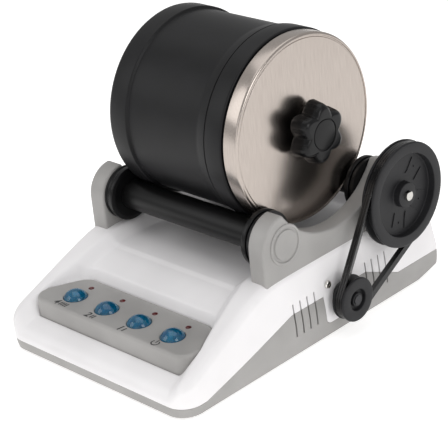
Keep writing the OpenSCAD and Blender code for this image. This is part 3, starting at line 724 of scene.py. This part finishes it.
def barrelTub():
    back, band, body = -barrel["end"], barrel["band"], barrel["body"]
    front, frontEnd = barrel["frontBand"]
    backEnd, mouth, inside = back + barrel["backBand"], barrel["mouth"], barrel["mouth"] + 2.4
    profile = soft(
        [(back, 0), (back, 58), (back + 1.6, 60), (back + 1.6, 70), (back, 72), (back, band),
         (backEnd, band), (backEnd + 1.2, body), (front - barrel["flare"], body),
         (front - 0.8, band - 0.1), (front - 0.8, band - 1), (front, band - 1), (front, band),
         (frontEnd, band), (frontEnd, barrel["neck"]), (barrel["neckEnd"], barrel["neck"]),
         (barrel["neckEnd"], mouth), (42, mouth), (38, inside), (back + barrel["wall"], inside),
         (back + barrel["wall"], 0)],
        [0, 1, 0.8, 0.8, 1.2, 4.5, 1.2, 0.8, 14, 0.5, 0, 0, 0.6, 1.6, 0, 0.8, 1, 1.5, 1.5, 3, 0])
    return turnedPiece("barrelTub", atBase(profile), barrelAxis, barrelRubber, segments=192, sharp=30)


lid = {"low": 59.25, "high": 73.25, "skirt": 78.8, "round": 2.2, "thick": 0.9, "rim": 76.2, "hole": 4.3}


def lidCap():  # a pressed cover with a fine groove just inside its edge
    low, high, thick, rim = lid["low"], lid["high"], lid["thick"], lid["rim"]
    profile = soft(
        [(low, lid["skirt"] - thick), (low, lid["skirt"]), (high, lid["skirt"]), (high, rim),
         (high - 0.7, rim - 0.2), (high - 0.7, rim - 1.1), (high - 0.1, rim - 1.5),
         (high - 0.1, lid["hole"]), (high - thick, lid["hole"]),
         (high - thick - 0.1, lid["skirt"] - thick)],
        [0.2, 0.3, lid["round"], 0.2, 0.2, 0.2, 0.3, 0, 0, 1.6], 7)
    return turnedPiece("lidCap", atBase(profile), barrelAxis, brushedLid, segments=192, sharp=30)


place(barrelTub(), "barrel", "barrel_rubber", "barrel_shell")
place(lidCap(), "barrel", "steel_lid", "lid_cover")

knob = {"low": 79.0, "high": 95.4, "back": 75.5, "tip": 27, "valley": 20.8, "lobes": 6, "hub": 13,
        "cap": 12.6, "turned": 24.5, "narrows": 0.1}


def starRadius(angle):  # the star's outline, and how deep the grip lines cut into it
    lobe = (0.5 + 0.5 * math.cos(knob["lobes"] * angle)) ** 0.66
    offset = abs((math.degrees(angle) + 30) % 60 - 30)
    grip = 0.0
    if 10 < offset < 19:
        grip = 0.45 * (0.5 - 0.5 * math.cos(2 * math.pi * (offset - 10) / 3))
    return knob["valley"] + (knob["tip"] - knob["valley"]) * lobe, grip


def knobPiece():
    k, count, rings = knob, 540, []
    low, high, turned = k["low"], k["high"], math.radians(k["turned"])

    def ringAt(x, radii):
        angles = [2 * math.pi * i / count + turned for i in range(count)]
        return [Vector(((x + shaftZero) * mm, barrelAxis.y + r * mm * math.cos(a),
                        barrelAxis.z + r * mm * math.sin(a))) for r, a in zip(radii, angles)]

    for x, radius in ((k["back"], k["hub"] - 1), (k["back"], k["hub"]), (low, k["hub"])):
        rings.append(ringAt(x, [radius] * count))
    for x, inset in ((low, 2.5), (low + 0.7, 0.8), (low + 2.2, 0), (high - 6.2, 0), (high - 5.9, 0),
                     (high - 3.4, 0.3), (high - 1.8, 1.0), (high - 0.7, 2.0), (high - 0.15, 3.4),
                     (high - 0.05, 4.6)):
        radii = []
        for i in range(count):
            star, grip = starRadius(2 * math.pi * i / count)
            star *= 1 - k["narrows"] * (x - low) / (high - low)
            radii.append(star - inset - (grip if low + 1 < x < high - 3 else 0))
        rings.append(ringAt(x, radii))
    for x, radius in ((high - 0.05, k["cap"] + 0.9), (high - 0.9, k["cap"] + 0.5), (high - 0.9, k["cap"]),
                      (high - 0.25, k["cap"] - 0.4), (high - 0.05, k["cap"] - 1.4)):
        rings.append(ringAt(x, [radius] * count))
    return loftedPiece("starKnob", rings, knobPhenolic, 38)


place(knobPiece(), "knob", "knob_plastic", "star_knob")
print("barrel and knob ready")

roller = {"half": 75, "r": 12.8, "flangeR": 23.6, "flangeLow": 75, "flangeHigh": 80, "collarHigh": 84.9,
          "collarLow": 80.35, "bore": 4.2, "ringBore": 9}


def bothEnds(name, profile, axis):  # the same turned piece at each end of a roller
    sides = [[(side * x + shaftZero, q) for x, q in profile] for side in (-1, 1)]
    return [turnedPiece(name, side, axis, blackNylon, segments=96) for side in sides]


def rollerTube(label, axis):
    half, radius, bore = roller["half"], roller["r"], roller["bore"]
    profile = soft([(-half, bore), (-half, radius), (half, radius), (half, bore)], [0, 0.8, 0.8, 0])
    return turnedPiece(label + "Tube", atBase(profile), axis, rollerRubber, segments=96)


lo, hi, big = roller["flangeLow"], roller["flangeHigh"], roller["flangeR"]
rimProfile = soft([(lo, roller["bore"]), (lo, big - 3.5), (lo + 0.8, big), (hi, big), (hi, roller["bore"])],
                  [0, 1, 0.8, 0.9, 0])
for label, axis in (("drive", driveAxis), ("idler", idlerAxis)):
    body = label + "_roller"
    place(rollerTube(label, axis), body, "barrel_rubber", label + "_sleeve")
    rims = joined(label + "Rims", bothEnds("rim", rimProfile, axis))
    place(rims, body, "black_plastic", label + "_flanges")
lo, hi = roller["collarLow"], roller["collarHigh"]
ringProfile = soft([(lo, roller["ringBore"]), (lo, big - 1.2), (hi - 2, big - 1.2), (hi - 2, big - 0.4),
                    (hi, big - 0.4), (hi, roller["ringBore"])], [0, 0.9, 0.3, 0.5, 0.2, 0])
rings = bothEnds("ring", ringProfile, driveAxis) + bothEnds("ring", ringProfile, idlerAxis)
place(joined("bearingRings", rings), "base", "black_plastic", "bearing_collars")
print("rollers ready")

drive = {"low": 112.7, "high": 124.7, "big": 45, "small": 18.9, "mid": 118.7, "grooveHalf": 3.75,
         "depth": 5.5, "rim": 9.3, "hub": 10.6, "recess": 6.4, "shaft": 4.15, "belt": 6.5, "beltThick": 4.5}


def grooveProfile(radius):
    low, high, bottom = drive["low"], drive["high"], radius - drive["depth"] + 0.1
    a, b = drive["mid"] - drive["grooveHalf"], drive["mid"] + drive["grooveHalf"]
    return ([(low, radius), (a, radius), (a, bottom), (b, bottom), (b, radius), (high, radius)],
            [1.1, 0.5, 0.4, 0.4, 0.5, 1.3])


def bigWheel():
    low, high, hub, shaft = drive["low"], drive["high"], drive["hub"], drive["shaft"]
    points, radii = grooveProfile(drive["big"])
    web, inner = high - drive["recess"], drive["big"] - drive["rim"]
    profile = soft(
        [(low, shaft), (low, 10), (low + 4.4, 11.4), (low + 4.4, inner), (low, inner + 1)] + points
        + [(high, inner), (web, inner - 0.6), (web, hub + 0.4), (high - 0.2, hub), (high - 0.2, shaft)],
        [0, 0.4, 1, 1, 0.5] + radii + [0.7, 0.8, 0.8, 0.6, 0])
    return turnedPiece("bigWheel", atBase(profile), driveAxis, pulleyNylon, segments=160)


def onWheel(radius, degrees):
    return radius * Vector((math.cos(math.radians(degrees)), math.sin(math.radians(degrees))))


def webLine(turn, points, width=0.7):  # a raised mould line on the web, points as (radius, degrees)
    web = drive["high"] - drive["recess"] + shaftZero
    lines = []
    for (r0, a0), (r1, a1) in zip(points, points[1:]):
        a, b = onWheel(r0, a0 + turn), onWheel(r1, a1 + turn)
        way = (b - a).normalized()
        off = Vector((-way.y, way.x)) * width / 2
        corners = [a - way * 0.3 + off, a - way * 0.3 - off, b + way * 0.3 - off, b + way * 0.3 + off]
        outline = [(driveAxis.y + c.x * mm, driveAxis.z + c.y * mm) for c in corners]
        lines.append(prismPiece("line", outline, (web - 0.5) * mm, (web + 0.7) * mm, pulleyNylon))
    return lines


def webDot(turn):
    web = drive["high"] - drive["recess"] + shaftZero
    spot = Vector((0, driveAxis.y, driveAxis.z)) + Vector((0, *onWheel(25, turn))) * mm
    profile = [(web - 0.5, 0), (web - 0.5, 0.9), (web + 0.6, 0.7), (web + 0.6, 0)]
    return turnedPiece("dot", profile, spot, pulleyNylon, segments=16)


def motorWheel():
    high, shaft = drive["high"], drive["shaft"]
    points, radii = grooveProfile(drive["small"])
    profile = soft(
        [(drive["low"], shaft)] + points
        + [(high, 9.4), (high - 3.4, 9), (high - 3.4, 6), (high - 0.6, 5.6), (high - 0.6, shaft)],
        [0] + radii + [0.7, 0.3, 0.3, 0.4, 0])
    return turnedPiece("motorWheel", atBase(profile), motorAxis, pulleyNylon, segments=96)


wheel = [bigWheel()]
for turn in (47, 257, 329):
    wheel += webLine(turn, [(17.5, -24), (29, -17)])
    wheel += webLine(turn, [(17.5, 24), (20, 19), (31, 14)])
    wheel.append(webDot(turn))
place(joined("drivenPulley", wheel), "drive_roller", "pulley_plastic", "drive_pulley")
place(motorWheel(), "motor_rotor", "pulley_plastic", "motor_pulley")
print("pulleys ready")


def loopPath(grow, steps=64):  # the closed line round both pulleys
    bigC, smallC = Vector(driveAxis.yz), Vector(motorAxis.yz)
    bigR = (drive["big"] - drive["depth"] + 0.3 + grow) * mm
    smallR = (drive["small"] - drive["depth"] + 0.3 + grow) * mm
    away = smallC - bigC
    heading = math.atan2(away.y, away.x)
    lean = math.acos((bigR - smallR) / away.length)
    path = []
    for centre, radius, first, last in ((bigC, bigR, heading + lean, heading + 2 * math.pi - lean),
                                        (smallC, smallR, heading - lean, heading + lean)):
        for i in range(steps + 1):
            t = first + (last - first) * i / steps
            path.append(centre + radius * Vector((math.cos(t), math.sin(t))))
    return path


def beltPiece():
    half, thick = drive["belt"] / 2, drive["beltThick"]
    section = [(-half + 0.9, 0.05), (half - 0.9, 0.05), (half, thick - 0.5), (half - 0.4, thick - 0.05),
               (1.5, thick - 0.05), (1.2, thick - 0.6), (0.9, thick - 0.05), (-0.9, thick - 0.05),
               (-1.2, thick - 0.6), (-1.5, thick - 0.05), (-half + 0.4, thick - 0.05), (-half, thick - 0.5)]
    sides = [[Vector(((drive["mid"] + x + shaftZero) * mm, p.x, p.y)) for p in loopPath(out)]
             for x, out in section]
    return loftedPiece("driveBelt", sides, beltRubber, 30, False, False, loop=True)


place(beltPiece(), "base", "belt_rubber", "drive_belt")
print("belt ready")

button = {"r": 10.25, "hole": 10.6, "dome": 6.45, "below": 2.65, "skirt": 1.5, "pitch": 38.7, "y": -151.2,
          "lampY": -133.7, "lamp": 2.5}
mark = {"size": 9.5, "left": 6.5, "down": 15, "slant": 0.18, "bar": 2.6, "barPitch": 2.4, "ring": 3.9}
buttonSpots = [(i - 1.5) * button["pitch"] for i in range(4)]


def panelRing(inset, high):
    return [fromBase(p.x, p.y, high) for p in panelOutline(-inset)]


def controlPlate():
    top, low, edge = panel["top"], panel["low"], panel["edge"]
    rings = [panelRing(0, low)]
    for t in range(7):  # the rounded upper edge
        turn = t * math.pi / 12
        rings.append(panelRing(edge * (1 - math.cos(turn)), top - edge * (1 - math.sin(turn))))
    rings.append(panelRing(edge + 1.5, top))
    plate = loftedPiece("panelPlate", rings, greyAbs)
    carve(plate, upright("hollow", panelOutline(-panel["thick"]), low - 3, top - panel["thick"]))
    holes = [upright("hole", circle(x, y, radius, 64), top - 6, top + 6) for x in buttonSpots
             for y, radius in ((button["y"], button["hole"]), (button["lampY"], button["lamp"]))]
    carve(plate, joined("holes", holes))
    whole = finishMesh("controlPlate", plate.data, greyAbs, sharp=24, turn=False)
    bpy.data.objects.remove(plate)
    return whole


place(controlPlate(), "base", "grey_plastic", "control_panel")

domeR = (button["r"] ** 2 + button["dome"] ** 2) / (2 * button["dome"])
domeHalf = math.asin(button["r"] / domeR)
for name, x in zip(("button_4", "button_2", "button_1", "button_power"), buttonSpots):
    centre = fromBase(x, button["y"], 0)
    top = fromBase(0, 0, panel["top"]).z / mm
    seat = top - button["below"]
    profile = [(seat - 1.05, 0), (seat - 1.05, button["r"] + button["skirt"]),
               (seat, button["r"] + button["skirt"]), (seat, button["r"] - 0.05)]
    for i in range(15):
        t = domeHalf * (1 - i / 14)
        profile.append((top + button["dome"] - domeR + domeR * math.cos(t), domeR * math.sin(t)))
    dome = turnedPiece(name + "Dome", profile, centre, bluePolycarbonate, "z", 96)
    place(dome, name, "blue_lens", name)
    facets = [(top - 2.4, 0), (top - 2.4, 8.6), (top + 0.8, 8.2), (top + 2.9, 5.6), (top + 4.3, 2.4),
              (top + 4.5, 0)]
    core = turnedPiece(name + "Core", facets, centre, deepBlueCore, "z", 9, 20)  # nine cut sides
    place(core, name, "blue_lens")


def flatMark(name, outline, x, y):
    high = panel["top"] + 0.06
    corners = [fromBase(x + u, y + v, 0).xy for u, v in outline]
    return prismPiece(name, corners, fromBase(0, 0, high - 0.05).z, fromBase(0, 0, high).z, printInk, "xy")


def digitMark(letter, x, y):
    curve = bpy.data.curves.new("digit", "FONT")
    curve.body = letter
    curve.size = mark["size"] * mm
    curve.align_x = "CENTER"
    curve.align_y = "CENTER"
    curve.shear = mark["slant"]
    curve.extrude = 0.03 * mm
    curve.offset = 0.25 * mm
    text = bpy.data.objects.new("digit", curve)
    scene.collection.objects.link(text)
    graph = bpy.context.evaluated_depsgraph_get()
    mesh = bpy.data.meshes.new_from_object(text.evaluated_get(graph))
    mesh.transform(Matrix.Translation(fromBase(x, y, panel["top"] + 0.03)))
    bpy.data.objects.remove(text)
    return finishMesh("digit", mesh, printInk, turn=False)


strokes = []
y, tall = button["y"] - mark["down"], mark["bar"]
for letter, spot in zip("421", buttonSpots):
    x = spot - mark["left"]
    strokes.append(digitMark(letter, x, y))
    for i in range(int(letter)):  # one small bar for each step of the timer
        u = 5 + mark["barPitch"] * i
        bar = [(u - 1, -tall), (u + 0.3, -tall), (u + 1.1, tall), (u - 0.2, tall)]
        strokes.append(flatMark("bar", bar, x, y))
x, big = buttonSpots[3] - 4, mark["ring"]
arc = [(big * math.sin(math.radians(a)), big * math.cos(math.radians(a))) for a in range(38, 323, 15)]
strokes.append(flatMark("arc", arc + [(u * 0.76, v * 0.76) for u, v in arc[::-1]], x, y))
strokes.append(flatMark("bar", [(-0.5, 0.2), (0.5, 0.2), (0.5, big + 0.5), (-0.5, big + 0.5)], x, y))
place(joined("panelMarks", strokes), "base", "grey_plastic")
print("panel ready")


def screwTree():  # one slotted pan head on each point, turned to face along "Facing"
    tree = bpy.data.node_groups.new("slottedScrews", "GeometryNodeTree")
    face = tree.interface
    face.new_socket("Geometry", in_out="INPUT", socket_type="NodeSocketGeometry")
    face.new_socket("Head", in_out="INPUT", socket_type="NodeSocketObject")
    face.new_socket("Facing", in_out="INPUT", socket_type="NodeSocketVector")
    face.new_socket("Finish", in_out="INPUT", socket_type="NodeSocketMaterial")
    face.new_socket("Geometry", in_out="OUTPUT", socket_type="NodeSocketGeometry")
    feed = addNode(tree, "NodeGroupInput").outputs
    head = addNode(tree, "GeometryNodeObjectInfo", {"Object": feed["Head"]})
    spin = addNode(tree, "FunctionNodeRandomValue", {"Max": 3.14, "Seed": 4}, data_type="FLOAT")
    aim = addNode(tree, "FunctionNodeAlignRotationToVector", {"Vector": feed["Facing"]}, axis="Z")
    twist = addNode(tree, "FunctionNodeAxisAngleToRotation", {"Axis": (0, 0, 1), "Angle": spin.outputs[1]})
    turned = addNode(tree, "FunctionNodeRotateRotation", {
        "Rotation": aim.outputs[0], "Rotate By": twist.outputs[0]}, rotation_space="LOCAL")
    put = addNode(tree, "GeometryNodeInstanceOnPoints", {
        "Points": feed["Geometry"], "Instance": head.outputs["Geometry"], "Rotation": turned.outputs[0]})
    real = addNode(tree, "GeometryNodeRealizeInstances", {"Geometry": put.outputs["Instances"]})
    dressed = addNode(tree, "GeometryNodeSetMaterial", {
        "Geometry": real.outputs["Geometry"], "Material": feed["Finish"]})
    addNode(tree, "NodeGroupOutput", {"Geometry": dressed.outputs["Geometry"]})
    return tree


screw = {"head": 3.6, "high": 2.3, "slot": 0.85, "slotDeep": 0.9, "shank": 1.9, "long": 8,
         "fromMotor": 15.5}


def screwHead():
    s, half = screw, screw["slot"] / 2
    profile = soft([(-s["long"], 0), (-s["long"], s["shank"]), (0, s["shank"]), (0, s["head"]),
                    (s["high"], s["head"] - 0.5), (s["high"], 0)], [0, 0.4, 0, 0.2, 1.2, 0])
    head = turnedPiece("head", profile, Vector((0, 0, 0)), chromedSteel, "z", 40)
    slot = [Vector(q) * mm for q in ((-5, -half), (5, -half), (5, half), (-5, half))]
    low, high = (s["high"] - s["slotDeep"]) * mm, (s["high"] + 3) * mm
    return carve(head, prismPiece("slot", slot, low, high, chromedSteel, "xy"))


def screws(name, spots, facing, finish):
    head = screwHead()
    mesh = bpy.data.meshes.new(name)
    mesh.from_pydata([tuple(q) for q in spots], [], [])
    carrier = bpy.data.objects.new(name + "Points", mesh)
    scene.collection.objects.link(carrier)
    tree = screwTree()
    work = carrier.modifiers.new("screws", "NODES")
    work.node_group = tree
    keys = {item.name: item.identifier for item in tree.interface.items_tree if item.in_out == "INPUT"}
    for label, value in (("Head", head), ("Facing", facing), ("Finish", finish)):
        work[keys[label]] = value
    settle(carrier)
    piece = finishMesh(name, carrier.data, finish, turn=False)
    bpy.data.objects.remove(carrier)
    drop(head)
    return piece


low, high = boxOf("motor_screws")
edge = screw["head"] * mm
lean = base["sideLean"] * leanShare(motor["h"] + screw["fromMotor"] - screw["head"])
upperX = fromBase(base["half"] - lean + 0.02, 0, 0).x  # the upper head sits on the leaning wall
lowerX = fromBase(base["half"] + 0.05, 0, 0).x
motorSpots = [Vector((upperX, low.y + edge, high.z - edge)), Vector((lowerX, high.y - edge, low.z + edge))]
motorScrews = screws("motorScrews", motorSpots, (1.0, 0.0, 0.0), chromedSteel)
place(motorScrews, "base", "chrome_screw", "motor_screws")
print("screws ready")

finishes = {
    "rubber_feet": footRubber, "base_screws": chromedSteel, "bracket_screws": chromedSteel,
    "shaft_bushings": sinteredBronze, "lamp_lenses": redLens, "circuit_board": solderMask,
    "button_switches": blackNylon, "motor_housing": zincPlate, "motor_end_bell": blackNylon,
    "cord_gland": blackNylon, "terminal_block": whiteAbs, "lid_gasket": footRubber, "inner_lid": greyAbs,
    "lid_stud": turnedSteel, "knob_washer": turnedSteel, "knob_insert": sinteredBronze,
    "drive_shaft": turnedSteel, "idler_shaft": turnedSteel, "motor_shaft": blackenedSteel}
for node, material in finishes.items():
    slots = bpy.data.objects[node].data.materials
    for i in range(len(slots)):
        slots[i] = material
    if not slots:
        slots.append(material)
print("finishes ready")

studio = {"reach": 6.0, "middle": 0.12, "floorGlow": 0.55, "sky": 0.52}
reach, low = studio["reach"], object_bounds()[0][2]
floorMesh = bpy.data.meshes.new("floorSheet")
corners = [(x * reach, y * reach, low) for x, y in ((-1, -1), (1, -1), (1, 1), (-1, 1))]
floorMesh.from_pydata(corners, [], [(0, 1, 2, 3)])
floorSheet = bpy.data.objects.new("floorSheet", floorMesh)
scene.collection.objects.link(floorSheet)
paper = bpy.data.materials.new("backdropPaper")  # seamless paper: white and dull
paper.use_nodes = True
shader = paper.node_tree.nodes["Principled BSDF"]
shader.inputs["Base Color"].default_value = linear("#F4F3F2")
shader.inputs["Roughness"].default_value = 0.9
shader.inputs["Emission Color"].default_value = linear("#FFFFFF")
shader.inputs["Emission Strength"].default_value = studio["floorGlow"]
floorMesh.materials.append(paper)

world = bpy.data.worlds.new("studio")
scene.world = world
world.use_nodes = True
world.node_tree.nodes["Background"].inputs["Color"].default_value = linear("#FFFFFF")
world.node_tree.nodes["Background"].inputs["Strength"].default_value = studio["sky"]


softboxes = {  # place from the middle of the machine, width and height in metres, and watts
    "overhead": ((-0.1, 0.1, 1.1), 1.2, 1.2, 3.6),
    "leftBox": ((-0.8, -1.1, 0.8), 0.9, 0.9, 3.6),
    "frontFill": ((0.7, -1.3, 0.35), 1.2, 0.7, 1.6),
    "rightBox": ((1.3, -0.2, 0.7), 0.6, 0.9, 4.5)}
for name, (offset, width, height, watts) in softboxes.items():
    light = bpy.data.lights.new(name, "AREA")
    light.shape = "RECTANGLE"
    light.size = width
    light.size_y = height
    light.energy = watts
    lamp = bpy.data.objects.new(name, light)
    lamp.location = Vector((0, 0, studio["middle"])) + Vector(offset)
    lamp.rotation_euler = (-Vector(offset)).to_track_quat("-Z", "Y").to_euler()
    scene.collection.objects.link(lamp)
scene.view_settings.view_transform = "Standard"
print("studio ready")

view = {"from": (854.1, -898.8, 506.2), "azimuth": 46.811, "elevation": 24.737, "roll": -5.811,
        "lens": 134.16}
azimuth, elevation, roll = (math.radians(view[k]) for k in ("azimuth", "elevation", "roll"))
back = Vector((math.sin(azimuth) * math.cos(elevation), -math.cos(azimuth) * math.cos(elevation),
               math.sin(elevation)))
level = Vector((math.cos(azimuth), math.sin(azimuth), 0))
rise = back.cross(level)
right = math.cos(roll) * level + math.sin(roll) * rise
up = -math.sin(roll) * level + math.cos(roll) * rise
camera = bpy.data.objects.new("camera", bpy.data.cameras.new("camera"))
camera.data.lens = view["lens"]
camera.data.sensor_width = 36
camera.data.clip_start = 0.05
turn = Matrix((right, up, back)).transposed().to_4x4()
spot = Vector((boxOf("lid_cover")[1].x, barrelAxis.y, barrelAxis.z)) + Vector(view["from"]) * mm
camera.matrix_world = Matrix.Translation(spot) @ turn
scene.collection.objects.link(camera)
scene.camera = camera

print("scene ready")
